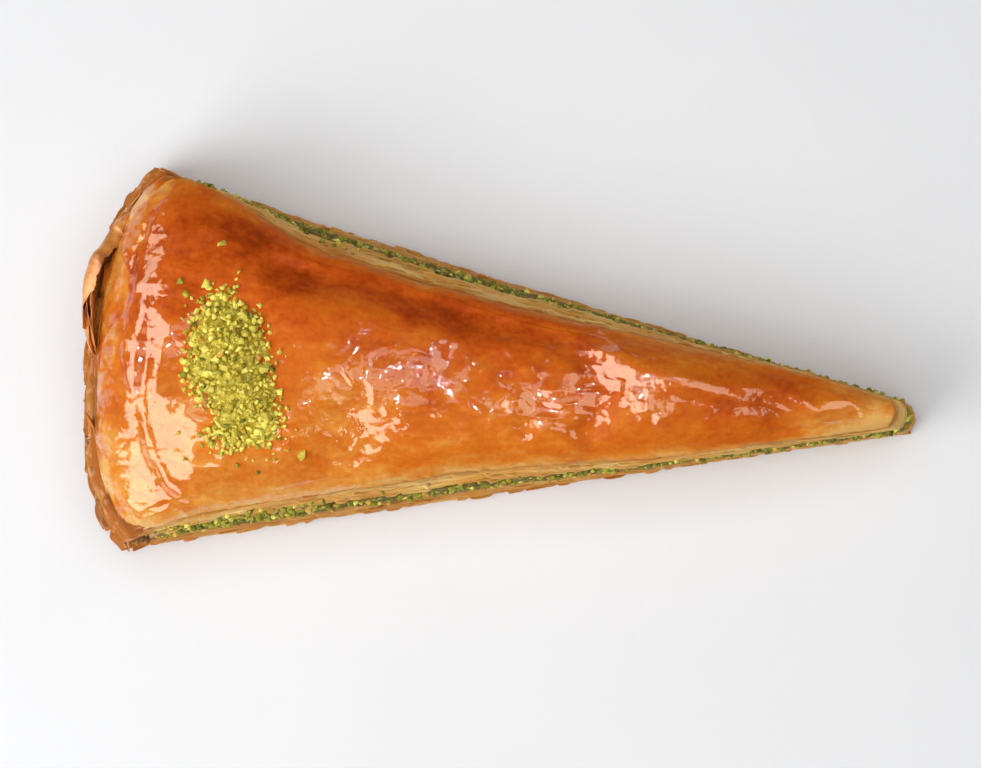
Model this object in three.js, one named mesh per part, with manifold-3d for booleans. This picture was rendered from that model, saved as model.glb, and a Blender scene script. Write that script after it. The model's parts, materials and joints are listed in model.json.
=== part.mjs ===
// A carrot-cut slice of pistachio baklava: a long wedge from a round tray of thirty-odd filo sheets.
// It has three bodies: the soaked sheets under the nuts, the layer of ground pistachio that runs
// right through, and the puffed, browned sheets over it with a pinch of ground pistachio on top.
// The slice lies along X with its tip at +X and its rounded outer end at -X. All sizes are in mm.

import * as THREE from "three";
import { mergeVertices } from "three/addons/utils/BufferGeometryUtils.js";
import Module from "manifold-3d";

// Plan of the flat underside
const SLICE_LENGTH = 168; // from the tip to the middle of the outer end
const END_WIDTH = 81; // where the two sides would meet the middle of the outer end
const TIP_WIDTH = 5; // the blunt tip
const END_BOW = 4.5; // how far the outer end bows out, from the round of the tray
const CORNER_CUT = 6; // how far the two outer corners are rounded back
const TIP_ROUND = 1.2;

// Heights
const CROWN_HEIGHT = 38; // top of the puffed sheets, a third of the way in from the outer end
const TIP_CROWN = 25;
const SIDE_HEIGHT = 29; // top edge of the two cut sides
const TIP_SIDE = 23;
const END_HEIGHT = 25; // top edge of the browned outer end
const SHOULDER = 25; // length over which the top rounds down to the outer end
const TIP_DROOP = 46; // length over which the top sinks towards the tip
const NUT_FLOOR = 11; // underside of the pistachio layer
const NUT_ROOF = 17.6; // top of the pistachio layer
const GAP = 0.3; // between the nut layer and the sheets above and below

// The top has shrunk back from the knife cuts, most along the middle of each side
const LEAST_LEAN = 0.9; // at the outer corners and the tip
const RIGHT_LEAN = { more: 3, grows: [40, 90], fades: [130, 165] }; // the -Y side
const LEFT_LEAN = { more: 5.9, grows: [0, 105], fades: [118, 146] }; // the +Y side
const LEAN_CURVE = 1.5; // upright at the foot, and leaning more towards the top
const END_LEAN = 4.4;
const TIP_LEAN = 4.5;

// Relief
const SHEET_RELIEF = 0.45; // in and out of the packed sheets on a cut side
const CRUST_RELIEF = 1.1; // in and out of the flaky sheets on the outer end
const CREASE_DEPTH = 1.5;
const RIDGE_RISE = 1.3;
const BLISTER_RISE = 0.4;

// Pinch of ground pistachio on top: an oval across the slice near its outer end
const HEAP = { fromTip: 135, side: -2, halfLength: 18.5, halfWidth: 10, rise: 2.4, tilt: 0.3 };
const HEAP_GRAINS = 110;
const STRAY_GRAINS = 14;
const GRAIN_RADIUS = [0.8, 1.5];
const COARSE_GRAIN = 1.15; // from this radius up a chip gets more facets
const EDGE_CRUMBS = 46; // pistachio pieces that stand out of the nut layer at the cut sides
const CRUMB_RADIUS = [0.9, 1.5];

// Browned sheets that came loose at the outer end
const LOOSE_SHEETS = 2; // thickness of the handful that stands off together
const LOOSE_FLARE = 0.9; // how far its top leans out
const SHORT_FLAKES = 6;
const FLAKE_SHEET = 0.9; // thickness of a short flake

const STEPS_ALONG = 52;
const STEPS_ACROSS = 14;

const wasm = await Module();
wasm.setup();

// ---- small helpers ----

const clamp = (x, low, high) => Math.min(Math.max(x, low), high);
const mix = (a, b, t) => a + (b - a) * t;
const smooth = (x, from, to) => {
  const t = clamp((x - from) / (to - from), 0, 1);
  return t * t * (3 - 2 * t);
};

// A seeded draw between 0 and 1 (mulberry32).
function draws(seed) {
  let state = seed;
  return () => {
    state = (state + 0x6d2b79f5) | 0;
    let t = Math.imul(state ^ (state >>> 15), 1 | state);
    t = (t + Math.imul(t ^ (t >>> 7), 61 | t)) ^ t;
    return ((t ^ (t >>> 14)) >>> 0) / 4294967296;
  };
}

// Smooth, repeatable unevenness between -1 and 1, about `wave` mm from crest to crest.
function uneven(x, y, wave, turn) {
  const k = (2 * Math.PI) / wave;
  return (
    (Math.sin(k * (x + 0.37 * y) + turn) +
      Math.sin(1.31 * k * (0.71 * y - 0.53 * x) + 2.1 * turn) +
      Math.sin(0.77 * k * (0.83 * x + 1.19 * y) + 3.3 * turn)) /
    3
  );
}

// ---- the slice's form, as functions of the distance from the tip (d) and the side offset (y) ----

const halfWidth = (d) => mix(TIP_WIDTH / 2, END_WIDTH / 2, d / SLICE_LENGTH);
const outerEnd = (v) => SLICE_LENGTH - END_BOW * v ** 2 - CORNER_CUT * v ** 4;

// How far the top edge stands back from the underside's, from side -1 to side 1.
const moreLean = (d, { more, grows, fades }) => more * smooth(d, ...grows) * (1 - smooth(d, ...fades));
const sideLean = (d, v) =>
  LEAST_LEAN + mix(moreLean(d, RIGHT_LEAN), moreLean(d, LEFT_LEAN), (v + 1) / 2);

// A place in plan. u runs from the tip (0) to the outer end (1) and v from side (-1) to side (1);
// lean is 0 at the underside's outline and 1 at the top's, and push moves the outline outwards.
function plan(u, v, lean, push = 0) {
  const near = TIP_LEAN * lean + TIP_ROUND * v * v - push * (1 - u);
  const far = outerEnd(v) - END_LEAN * lean + push * u;
  const d = mix(near, far, u);
  const tipFade = 1 - 0.8 * Math.exp(-d / 25);
  return { d, y: v * (halfWidth(d) - sideLean(d, v) * lean + push * tipFade) };
}

const sideHeight = (d) =>
  mix(TIP_SIDE, SIDE_HEIGHT, smooth(d, 0, TIP_DROOP)) -
  (SIDE_HEIGHT - END_HEIGHT) * smooth(d, SLICE_LENGTH - SHOULDER, SLICE_LENGTH);
const crownHeight = (d) =>
  mix(TIP_CROWN, CROWN_HEIGHT - 2.5, smooth(d, 0, 1.2 * TIP_DROOP)) + 2.5 * smooth(d, 70, 125);

// Creases and ridges that the top sheet baked into, as (from tip, side) courses.
const CREASE = [
  [128, 18.5],
  [107, 16],
  [95, 12.8],
  [79, 10],
  [66, 6],
  [62, -1],
  [64, -8],
];
const RIDGE = [
  [59, 6.5],
  [55, 4.5],
  [48, 3],
  [40, 1.2],
  [27, 2.2],
  [20, -0.8],
  [12, 1.8],
];
const BLISTERS = { fromTip: 78, side: 1.5, reach: 17 };

function distanceTo(course, d, y) {
  let nearest = Infinity;
  for (let i = 0; i + 1 < course.length; i += 1) {
    const [ax, ay] = course[i];
    const [bx, by] = course[i + 1];
    const length2 = (bx - ax) ** 2 + (by - ay) ** 2;
    const t = clamp(((d - ax) * (bx - ax) + (y - ay) * (by - ay)) / length2, 0, 1);
    nearest = Math.min(nearest, Math.hypot(d - mix(ax, bx, t), y - mix(ay, by, t)));
  }
  return nearest;
}

const bell = (distance, reach) => Math.exp(-((distance / reach) ** 2));

// 0 at the middle of the pinch of pistachio, 1 on its oval rim.
function heapReach(d, y) {
  const across = y - HEAP.side;
  const along = d - HEAP.fromTip;
  const long = across * Math.cos(HEAP.tilt) + along * Math.sin(HEAP.tilt);
  const short = along * Math.cos(HEAP.tilt) - across * Math.sin(HEAP.tilt);
  return Math.hypot(long / HEAP.halfLength, short / HEAP.halfWidth);
}

const heapRise = (d, y) => HEAP.rise * (1 - smooth(heapReach(d, y), 0.2, 1.05));

function topHeight(d, y, v) {
  const toEnd = clamp((d - (outerEnd(v) - END_LEAN - SHOULDER)) / SHOULDER, 0, 1);
  const across = (1 - Math.abs(v) ** 2.6) ** 0.8;
  const round = (1 - toEnd ** 2.6) ** 0.6;
  const side = sideHeight(d);
  const puff = (crownHeight(d) - side) * across * round;
  const inner = smooth(1 - Math.abs(v), 0, 0.25) * smooth(1 - toEnd, 0, 0.4) * smooth(d, 4, 16);
  const crease = -CREASE_DEPTH * bell(distanceTo(CREASE, d, y), 3.2);
  const ridge = RIDGE_RISE * bell(distanceTo(RIDGE, d, y), 2.6);
  const patch = bell(Math.hypot(d - BLISTERS.fromTip, y - BLISTERS.side), BLISTERS.reach);
  const blisters = BLISTER_RISE * patch * uneven(d, y, 7, 1.7);
  const sag = 0.9 * uneven(d, y, 38, 0.6);
  return side + puff + inner * (crease + ridge + blisters + sag) + 0.35 * uneven(d, y, 17, 2.4);
}

const leanAt = (height) => clamp(height / SIDE_HEIGHT, 0, 1) ** LEAN_CURVE;

const nutFloor = (d, y) =>
  mix(0.84, 1, smooth(d, 0, TIP_DROOP)) * NUT_FLOOR + 0.5 * uneven(d, y, 31, 0.9);
const nutRoof = (d, y) =>
  mix(0.84, 1, smooth(d, 0, TIP_DROOP)) * NUT_ROOF + 0.6 * uneven(d, y, 27, 2.2);

// ---- building closed bodies from rings round the slice ----

// Where the outline is sampled: along one side to the outer end, across it, and back to the tip.
function outlineStations() {
  const stations = [];
  for (let i = 0; i < STEPS_ALONG; i += 1) stations.push([i / STEPS_ALONG, -1]);
  for (let j = 0; j < STEPS_ACROSS; j += 1) stations.push([1, -1 + (2 * j) / STEPS_ACROSS]);
  for (let i = STEPS_ALONG; i > 0; i -= 1) stations.push([i / STEPS_ALONG, 1]);
  for (let j = STEPS_ACROSS; j > 0; j -= 1) stations.push([0, -1 + (2 * j) / STEPS_ACROSS]);
  return stations;
}

const STATIONS = outlineStations();

// One ring round the slice: lean and push place it in plan, height(d, y, v) lifts it.
function ring(lean, push, height) {
  return STATIONS.map(([u, v], i) => {
    const { d, y } = plan(u, v, lean, typeof push === "function" ? push(u, v, i) : push);
    return new THREE.Vector3(-d, y, height(d, y, v));
  });
}

// In-and-out of packed sheet edges at one level of a wall: fine on the cut sides, and ragged
// on the browned outer end.
function sheetPush(level) {
  const inOrOut = level % 2 ? 1 : -1;
  return (u, v, i) => {
    const onEnd = u === 1;
    const amount = onEnd ? CRUST_RELIEF : SHEET_RELIEF;
    const along = onEnd ? 37 * v : 168 * u;
    return amount * (0.55 * inOrOut + 0.75 * uneven(along, 9 * level + 3 * v, onEnd ? 9 : 14, level));
  };
}

// A closed body from the points of its rings, bottom ring first, and a lid for each end. A lid is
// a list of points and the triangles over them, counted anticlockwise from above.
function closedBody(rings, floor, roof) {
  const positions = [];
  const put = (a, b, c) => positions.push(...a.toArray(), ...b.toArray(), ...c.toArray());
  const count = STATIONS.length;
  for (let k = 0; k + 1 < rings.length; k += 1) {
    for (let i = 0; i < count; i += 1) {
      const j = (i + 1) % count;
      put(rings[k][i], rings[k + 1][i], rings[k][j]);
      put(rings[k][j], rings[k + 1][i], rings[k + 1][j]);
    }
  }
  floor.triangles.forEach(([a, b, c]) => put(floor.points[a], floor.points[c], floor.points[b]));
  roof.triangles.forEach(([a, b, c]) => put(roof.points[a], roof.points[b], roof.points[c]));
  const geometry = new THREE.BufferGeometry();
  geometry.setAttribute("position", new THREE.Float32BufferAttribute(positions, 3));
  return geometry;
}

// A plain lid: the ring's own points, split into triangles in plan.
function plainLid(points) {
  const contour = points.map((p) => new THREE.Vector2(p.x, p.y));
  const triangles = THREE.ShapeUtils.triangulateShape(contour, []);
  return { points, triangles };
}

// The shaped lid of the puffed top: a grid over the slice that ends in the top ring.
function puffedLid(topRing) {
  const at = (i, j) => {
    if (j === 0) return topRing[i % STATIONS.length];
    if (i === STEPS_ALONG) return topRing[STEPS_ALONG + j];
    if (j === STEPS_ACROSS) return topRing[2 * STEPS_ALONG + STEPS_ACROSS - i];
    if (i === 0) return topRing[2 * STEPS_ALONG + 2 * STEPS_ACROSS - j];
    const v = -1 + (2 * j) / STEPS_ACROSS;
    const { d, y } = plan(i / STEPS_ALONG, v, 1);
    return new THREE.Vector3(-d, y, topHeight(d, y, v) + heapRise(d, y));
  };
  const points = [];
  const triangles = [];
  for (let i = 0; i <= STEPS_ALONG; i += 1) {
    for (let j = 0; j <= STEPS_ACROSS; j += 1) points.push(at(i, j));
  }
  for (let i = 0; i < STEPS_ALONG; i += 1) {
    for (let j = 0; j < STEPS_ACROSS; j += 1) {
      const a = i * (STEPS_ACROSS + 1) + j;
      const b = a + STEPS_ACROSS + 1;
      triangles.push([a, a + 1, b], [a + 1, b + 1, b]);
    }
  }
  return { points, triangles };
}

function solidOf(geometry) {
  const bare = new THREE.BufferGeometry();
  const flat = geometry.index ? geometry.toNonIndexed() : geometry;
  bare.setAttribute("position", flat.getAttribute("position"));
  const merged = mergeVertices(bare, 1e-4);
  const vertProperties = merged.getAttribute("position").array;
  const triVerts = new Uint32Array(merged.index.array);
  return new wasm.Manifold(new wasm.Mesh({ numProp: 3, vertProperties, triVerts }));
}

function geometryOf(solid) {
  const { vertProperties, triVerts } = solid.getMesh();
  const geometry = new THREE.BufferGeometry();
  geometry.setAttribute("position", new THREE.BufferAttribute(new Float32Array(vertProperties), 3));
  geometry.setIndex(new THREE.BufferAttribute(new Uint32Array(triVerts), 1));
  geometry.computeVertexNormals();
  return geometry;
}

// ---- pistachio pieces and flakes ----

// A chip of pistachio, knocked out of true and turned at random.
function nutChip(place, radius, draw) {
  const coarse = radius >= COARSE_GRAIN;
  const chip = coarse ? new THREE.IcosahedronGeometry(radius) : new THREE.OctahedronGeometry(1.15 * radius);
  const turn = new THREE.Euler(6.3 * draw(), 6.3 * draw(), 6.3 * draw());
  const matrix = new THREE.Matrix4().makeScale(1.15, 0.75 + 0.3 * draw(), 0.7 + 0.25 * draw());
  matrix.premultiply(new THREE.Matrix4().makeRotationFromEuler(turn));
  matrix.premultiply(new THREE.Matrix4().makeTranslation(place.x, place.y, place.z));
  return solidOf(chip.applyMatrix4(matrix));
}

// Keeps a place only where no earlier one is nearer than the two radii allow.
function clearOf(placed, x, y, radius) {
  return placed.every((p) => Math.hypot(p.x - x, p.y - y) > 0.95 * (p.radius + radius));
}

// The pinch of ground pistachio: close chips on the oval, thinning out past its rim.
function heapChips() {
  const draw = draws(4127);
  const placed = [];
  let tries = 0;
  while (placed.length < HEAP_GRAINS + STRAY_GRAINS && tries < 20000) {
    tries += 1;
    const stray = placed.length >= HEAP_GRAINS;
    const reach = stray ? mix(1.1, 1.55, draw()) : Math.sqrt(draw()) * 1.04;
    const angle = 2 * Math.PI * draw();
    const long = reach * HEAP.halfLength * Math.cos(angle);
    const short = reach * HEAP.halfWidth * Math.sin(angle);
    const d = HEAP.fromTip + short * Math.cos(HEAP.tilt) + long * Math.sin(HEAP.tilt);
    const y = HEAP.side + long * Math.cos(HEAP.tilt) - short * Math.sin(HEAP.tilt);
    const radius = mix(GRAIN_RADIUS[0], GRAIN_RADIUS[1], draw() ** 1.6);
    if (!clearOf(placed, -d, y, radius)) continue;
    const v = y / (halfWidth(d) - sideLean(d, Math.sign(y)));
    if (Math.abs(v) > 0.93) continue;
    placed.push({ x: -d, y, z: topHeight(d, y, v) + heapRise(d, y) + 0.3 * radius, radius });
  }
  return placed.map((p) => nutChip(p, p.radius, draw));
}

// Pistachio pieces that stand out of the nut layer along both cut sides.
function edgeChips() {
  const draw = draws(977);
  const chips = [];
  for (let i = 0; i < EDGE_CRUMBS; i += 1) {
    const v = i % 2 ? 1 : -1;
    const u = clamp((i + 0.5 + 0.8 * (draw() - 0.5)) / EDGE_CRUMBS, 0.06, 0.97);
    const radius = mix(CRUMB_RADIUS[0], CRUMB_RADIUS[1], draw());
    const { d, y } = plan(u, v, leanAt((NUT_FLOOR + NUT_ROOF) / 2), -0.25 * radius);
    const low = nutFloor(d, y) + GAP / 2 + radius + 0.35;
    const high = nutRoof(d, y) - GAP / 2 - radius - 0.35;
    const place = { x: -d, y, z: mix(low, high, draw()) };
    chips.push(nutChip(place, 0.8 * radius, draw));
  }
  return chips;
}

// A sheet of filo, or a few together, standing on edge along a course in plan, low(t) to high(t) in height, with
// its top leaning out by flare(t).
function standingSheet(course, thickness, low, high, flare, steps) {
  const curve = new THREE.CatmullRomCurve3(course.map(([d, y]) => new THREE.Vector3(-d, y, 0)));
  const corners = [];
  for (let i = 0; i <= steps; i += 1) {
    const t = i / steps;
    const p = curve.getPoint(t);
    const way = curve.getTangent(t);
    const out = new THREE.Vector3(way.y, -way.x, 0).normalize();
    const at = (away, z) => new THREE.Vector3(p.x + away * out.x, p.y + away * out.y, z);
    const half = thickness / 2;
    const lean = flare(t);
    corners.push([at(-half, low(t)), at(half, low(t)), at(lean + half, high(t)), at(lean - half, high(t))]);
  }
  const positions = [];
  const put = (a, b, c) => positions.push(...a.toArray(), ...b.toArray(), ...c.toArray());
  for (let i = 0; i < steps; i += 1) {
    for (let k = 0; k < 4; k += 1) {
      const a = corners[i][k];
      const b = corners[i][(k + 1) % 4];
      put(a, corners[i + 1][k], b);
      put(b, corners[i + 1][k], corners[i + 1][(k + 1) % 4]);
    }
  }
  const [first, last] = [corners[0], corners[steps]];
  put(first[0], first[1], first[2]);
  put(first[0], first[2], first[3]);
  put(last[0], last[2], last[1]);
  put(last[0], last[3], last[2]);
  const geometry = new THREE.BufferGeometry();
  geometry.setAttribute("position", new THREE.Float32BufferAttribute(positions, 3));
  return solidOf(geometry);
}

// The loose browned sheets that bow off the outer end together, with daylight behind them.
function looseSheets() {
  const course = [
    [153.5, 30],
    [159, 26.2],
    [162.7, 20.4],
    [164.8, 14.4],
    [164.8, 8],
    [163.4, 0.2],
    [159, -5.5],
  ];
  const low = (t) => 19.5 + 1.2 * Math.sin(7 * t);
  const high = (t) => 21 + 8.5 * Math.sin(Math.PI * (0.08 + 0.86 * t)) + 0.6 * Math.sin(19 * t);
  const flare = (t) => LOOSE_FLARE * Math.sin(Math.PI * t);
  return standingSheet(course, LOOSE_SHEETS, low, high, flare, 16);
}

// Short flakes of crust that lift off the outer end.
function shortFlakes() {
  const draw = draws(311);
  const flakes = [];
  for (let i = 0; i < SHORT_FLAKES; i += 1) {
    const y = mix(-30, -9, i / (SHORT_FLAKES - 1));
    const half = mix(3, 4.6, draw());
    const wall = outerEnd(y / (END_WIDTH / 2)) - 2.2;
    const course = [
      [wall - 3.5, y - 1.1 * half],
      [wall - 0.4, y - 0.75 * half],
      [wall + 0.9, y],
      [wall - 0.2, y + 0.75 * half],
      [wall - 3.5, y + 1.1 * half],
    ];
    const foot = i % 2 ? mix(21.6, 22.4, draw()) : mix(18.8, 19.6, draw());
    const rise = mix(1.6, 2.4, draw());
    flakes.push(standingSheet(course, FLAKE_SHEET, () => foot, () => foot + rise, () => 0, 8));
  }
  return flakes;
}

// The body with its extras joined on. Keeping only the largest outer skin fills any pocket that
// the joining sealed and drops any chip that missed the body.
function joined(body, extras) {
  const all = extras.reduce((sum, extra) => sum.add(extra), body);
  return all.decompose().reduce((best, part) => (part.volume() > best.volume() ? part : best));
}

// ---- the three bodies ----

// Rings between two heights, with the packed sheets' relief on the ones in between.
function wall(low, high, levels, seed) {
  const rings = [];
  for (let k = 0; k <= levels; k += 1) {
    const t = k / levels;
    const between = k > 0 && k < levels;
    const height = (d, y, v) => mix(low.height(d, y, v), high.height(d, y, v), t);
    const lean = mix(low.lean ** (1 / LEAN_CURVE), high.lean ** (1 / LEAN_CURVE), t) ** LEAN_CURVE;
    rings.push(ring(lean, between ? sheetPush(seed + k) : 0, height));
  }
  return rings;
}

const UNDERSIDE = { lean: 0, height: () => 0 };
const BELOW_NUTS = { lean: leanAt(NUT_FLOOR), height: (d, y) => nutFloor(d, y) - GAP / 2 };
const NUTS_FLOOR = { lean: leanAt(NUT_FLOOR), height: (d, y) => nutFloor(d, y) + GAP / 2 };
const NUTS_ROOF = { lean: leanAt(NUT_ROOF), height: (d, y) => nutRoof(d, y) - GAP / 2 };
const ABOVE_NUTS = { lean: leanAt(NUT_ROOF), height: (d, y) => nutRoof(d, y) + GAP / 2 };
const TOP_EDGE = { lean: 1, height: topHeight };

function baseSheets() {
  const rings = wall(UNDERSIDE, BELOW_NUTS, 4, 0);
  return solidOf(closedBody(rings, plainLid(rings[0]), plainLid(rings[rings.length - 1])));
}

function nutLayer() {
  const rings = wall(NUTS_FLOOR, NUTS_ROOF, 3, 11);
  const core = solidOf(closedBody(rings, plainLid(rings[0]), plainLid(rings[rings.length - 1])));
  return joined(core, edgeChips());
}

function topSheets() {
  const rings = wall(ABOVE_NUTS, TOP_EDGE, 6, 20);
  const core = solidOf(closedBody(rings, plainLid(rings[0]), puffedLid(rings[rings.length - 1])));
  return joined(core, [looseSheets(), ...shortFlakes(), ...heapChips()]);
}

const slice = new THREE.Group();
slice.name = "baklava_slice";

function addBody(name, solid, color, roughness) {
  const material = new THREE.MeshStandardMaterial({ color, roughness, metalness: 0 });
  const mesh = new THREE.Mesh(geometryOf(solid), material);
  mesh.name = name;
  slice.add(mesh);
}

addBody("filo_base", baseSheets(), "#b98a3e", 0.5);
addBody("pistachio_filling", nutLayer(), "#8f8a2a", 0.7);
addBody("filo_top", topSheets(), "#c2691f", 0.25);

// The origin lies under the middle of the slice's box.
const box = new THREE.Box3().setFromObject(slice);
const middle = box.getCenter(new THREE.Vector3());
slice.children.forEach((mesh) => mesh.position.set(-middle.x, -middle.y, -box.min.z));

export default slice;
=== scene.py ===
import json
import math

import bmesh
import bpy
import numpy as np
from mathutils import Matrix, Vector

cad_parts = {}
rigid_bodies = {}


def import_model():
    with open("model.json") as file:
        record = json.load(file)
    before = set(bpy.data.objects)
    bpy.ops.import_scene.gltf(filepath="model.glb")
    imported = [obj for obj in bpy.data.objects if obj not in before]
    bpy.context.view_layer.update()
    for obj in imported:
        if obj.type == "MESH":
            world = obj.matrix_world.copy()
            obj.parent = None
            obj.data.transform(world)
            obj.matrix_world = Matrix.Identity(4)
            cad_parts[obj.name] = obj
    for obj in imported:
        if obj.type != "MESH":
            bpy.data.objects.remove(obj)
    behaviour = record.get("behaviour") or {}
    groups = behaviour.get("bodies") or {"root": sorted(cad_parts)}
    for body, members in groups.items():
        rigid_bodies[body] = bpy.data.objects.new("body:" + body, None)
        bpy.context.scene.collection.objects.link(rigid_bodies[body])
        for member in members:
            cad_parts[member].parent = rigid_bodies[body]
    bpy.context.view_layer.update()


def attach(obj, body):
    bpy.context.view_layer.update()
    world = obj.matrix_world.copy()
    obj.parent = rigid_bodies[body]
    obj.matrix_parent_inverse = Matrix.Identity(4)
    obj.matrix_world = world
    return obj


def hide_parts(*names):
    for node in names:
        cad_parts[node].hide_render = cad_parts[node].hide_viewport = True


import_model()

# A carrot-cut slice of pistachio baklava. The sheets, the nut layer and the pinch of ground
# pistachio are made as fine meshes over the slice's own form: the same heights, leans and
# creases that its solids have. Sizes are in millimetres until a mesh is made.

MM = 0.001
QUARTER_TURN = 1.5708

# ------------ sizes

# Where the slice's tip lies in the frame, and how far its middle line is off to the side
TIP_X = 84.29
MIDDLE_Y = 0.18

# Plan of the flat underside
SLICE_LENGTH = 168
END_WIDTH = 81
TIP_WIDTH = 5
END_BOW = 4.5
CORNER_CUT = 6
TIP_ROUND = 1.2

# Heights
CROWN_HEIGHT = 38
TIP_CROWN = 25
SIDE_HEIGHT = 29
TIP_SIDE = 23
END_HEIGHT = 25
SHOULDER = 25
TIP_DROOP = 46
NUT_FLOOR = 11
NUT_ROOF = 17.6

# How far the top edge stands back from the underside's
LEAST_LEAN = 0.9
RIGHT_LEAN = dict(more=3.0, grows=(40, 90), fades=(130, 165))
LEFT_LEAN = dict(more=5.9, grows=(0, 105), fades=(118, 146))
LEAN_CURVE = 1.5
END_LEAN = 4.4
TIP_LEAN = 4.5

# Relief of the baked top
CREASE_DEPTH = 1.5
RIDGE_RISE = 1.3
BLISTER_RISE = 0.4
CREASE = ((128, 18.5), (107, 16), (95, 12.8), (79, 10), (66, 6), (62, -1), (64, -8))
RIDGE = ((59, 6.5), (55, 4.5), (48, 3), (40, 1.2), (27, 2.2), (20, -0.8), (12, 1.8))
SHOULDER_FOLD = ((141, -28), (146.4, -25), (149.8, -20), (152.5, -10))
SHOULDER_FOLD += ((152, 3), (151.5, 13), (148, 19), (142, 22))
BLISTERS = dict(from_tip=78, side=1.5, reach=17)

# Pinch of ground pistachio
HEAP = dict(from_tip=135, side=-2, half_length=18.5, half_width=10, rise=2.4, tilt=0.3)

# Crumbs that rolled off it, as (from tip, side)
STRAYS = ((144, 18), (137, 19), (133.5, 16.5), (138.5, 22.5), (141.5, 14), (129, 13), (131, 10))
STRAYS += ((147.5, -9), (143.5, -16), (143.5, -23), (120, -17.5), (121.5, -8.5), (119, -19))
STRAYS += ((135, 26),)
GREEN_STRAYS = ((132.5, -20.5), (128.5, -22), (143, -21), (146, 15))

# Browned sheets that came loose together at the outer end, as (from tip, side), and how thick
# they are together
LOOSE_SHEETS = 2.0
LOOSE_FLARE = 0.9
LOOSE_COURSE = ((153.5, 30), (159, 26.2), (162.7, 20.4), (164.8, 14.4))
LOOSE_COURSE += ((164.8, 8), (163.4, 0.2), (159, -5.5))

# Sheets of filo that show at the cuts, and the skin that the topmost ones bake into. They are
# fewer and thicker than real ones, which would be too fine to show
UPPER_SHEETS = 16
LOWER_SHEETS = 15
SKIN = 0.55
SHEET = 0.16

# Places round the outline of a cut wall: along each side, the outer end and the tip
WALL_SIDE = 340
WALL_END = 160
WALL_TIP = 12

# Where each sheet's edge lies within its share of the wall, and how deep: 0 at its lip, -1 in
# the gap to the next sheet
SHEET_PROFILE = ((0.0, -1.0), (0.1, -0.08), (0.3, 0.0), (0.5, -0.08), (0.62, -1.0))

# ------------ arithmetic on arrays


def mix(a, b, t):
    return a + (b - a) * t


def smooth(x, low, high):
    t = np.clip((np.asarray(x, float) - low) / (high - low), 0, 1)
    return t * t * (3 - 2 * t)


def bell(distance, reach):
    return np.exp(-((distance / reach) ** 2))


def drawn(ix, iy, iz, seed):
    """A repeatable draw between 0 and 1 for each whole-number place."""
    h = (ix * 374761393 + iy * 668265263 + iz * 1440662683 + seed * 1013904223) & 0xFFFFFFFF
    h = ((h ^ (h >> 13)) * 1274126177) & 0xFFFFFFFF
    h = ((h ^ (h >> 16)) * 2246822519) & 0xFFFFFFFF
    return ((h ^ (h >> 15)) & 0xFFFFFF) / 0xFFFFFF


def noise(x, y, seed, z=0.0):
    """Smooth unevenness between -1 and 1, with about one crest for each unit of distance."""
    x, y, z = np.broadcast_arrays(*(np.asarray(c, float) for c in (x, y, z)))
    corner = [np.floor(c).astype(np.int64) for c in (x, y, z)]
    part = [c - k for c, k in zip((x, y, z), corner)]
    ease = [p * p * p * (p * (6 * p - 15) + 10) for p in part]
    total = 0
    for bits in range(8):
        step = [(bits >> axis) & 1 for axis in range(3)]
        weight = 1
        for e, s in zip(ease, step):
            weight = weight * (e if s else 1 - e)
        total = total + weight * drawn(*(k + s for k, s in zip(corner, step)), seed)
    return 2 * total - 1


def rough(x, y, wave, octaves, seed):
    """Unevenness with finer unevenness on it; wave is the distance between the largest crests."""
    total, size = 0, 1
    for octave in range(octaves):
        total = total + size * noise(x / wave, y / wave, seed + 17 * octave)
        wave, size = wave * 0.48, size * 0.5
    return total


def uneven(x, y, wave, turn):
    """The even swell that the solids share, about wave from crest to crest."""
    k = 2 * math.pi / wave
    return (
        np.sin(k * (x + 0.37 * y) + turn)
        + np.sin(1.31 * k * (0.71 * y - 0.53 * x) + 2.1 * turn)
        + np.sin(0.77 * k * (0.83 * x + 1.19 * y) + 3.3 * turn)
    ) / 3


def distance_to(course, d, y):
    nearest = np.full(np.broadcast(d, y).shape, np.inf)
    for (ax, ay), (bx, by) in zip(course, course[1:]):
        length2 = (bx - ax) ** 2 + (by - ay) ** 2
        t = np.clip(((d - ax) * (bx - ax) + (y - ay) * (by - ay)) / length2, 0, 1)
        nearest = np.minimum(nearest, np.hypot(d - mix(ax, bx, t), y - mix(ay, by, t)))
    return nearest


# ------------ the slice's form


def half_width(d):
    return mix(TIP_WIDTH / 2, END_WIDTH / 2, d / SLICE_LENGTH)


def outer_end(v):
    return SLICE_LENGTH - END_BOW * v**2 - CORNER_CUT * v**4


def more_lean(d, more, grows, fades):
    return more * smooth(d, *grows) * (1 - smooth(d, *fades))


def side_lean(d, v):
    return LEAST_LEAN + mix(more_lean(d, **RIGHT_LEAN), more_lean(d, **LEFT_LEAN), (v + 1) / 2)


def plan(u, v, lean, push=0.0):
    """(from tip, side) of a place: u from tip to outer end, v from side -1 to side 1."""
    near = TIP_LEAN * lean + TIP_ROUND * v * v - push * (1 - u)
    far = outer_end(v) - END_LEAN * lean + push * u
    d = mix(near, far, u)
    tip_fade = 1 - 0.8 * np.exp(-d / 25)
    return d, v * (half_width(d) - side_lean(d, v) * lean + push * tip_fade)


def side_height(d):
    rising = mix(TIP_SIDE, SIDE_HEIGHT, smooth(d, 0, TIP_DROOP))
    return rising - (SIDE_HEIGHT - END_HEIGHT) * smooth(d, SLICE_LENGTH - SHOULDER, SLICE_LENGTH)


def crown_height(d):
    rising = mix(TIP_CROWN, CROWN_HEIGHT - 2.5, smooth(d, 0, 1.2 * TIP_DROOP))
    return rising + 2.5 * smooth(d, 70, 125)


def to_outer_end(d, v):
    return np.clip((d - (outer_end(v) - END_LEAN - SHOULDER)) / SHOULDER, 0, 1)


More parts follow.
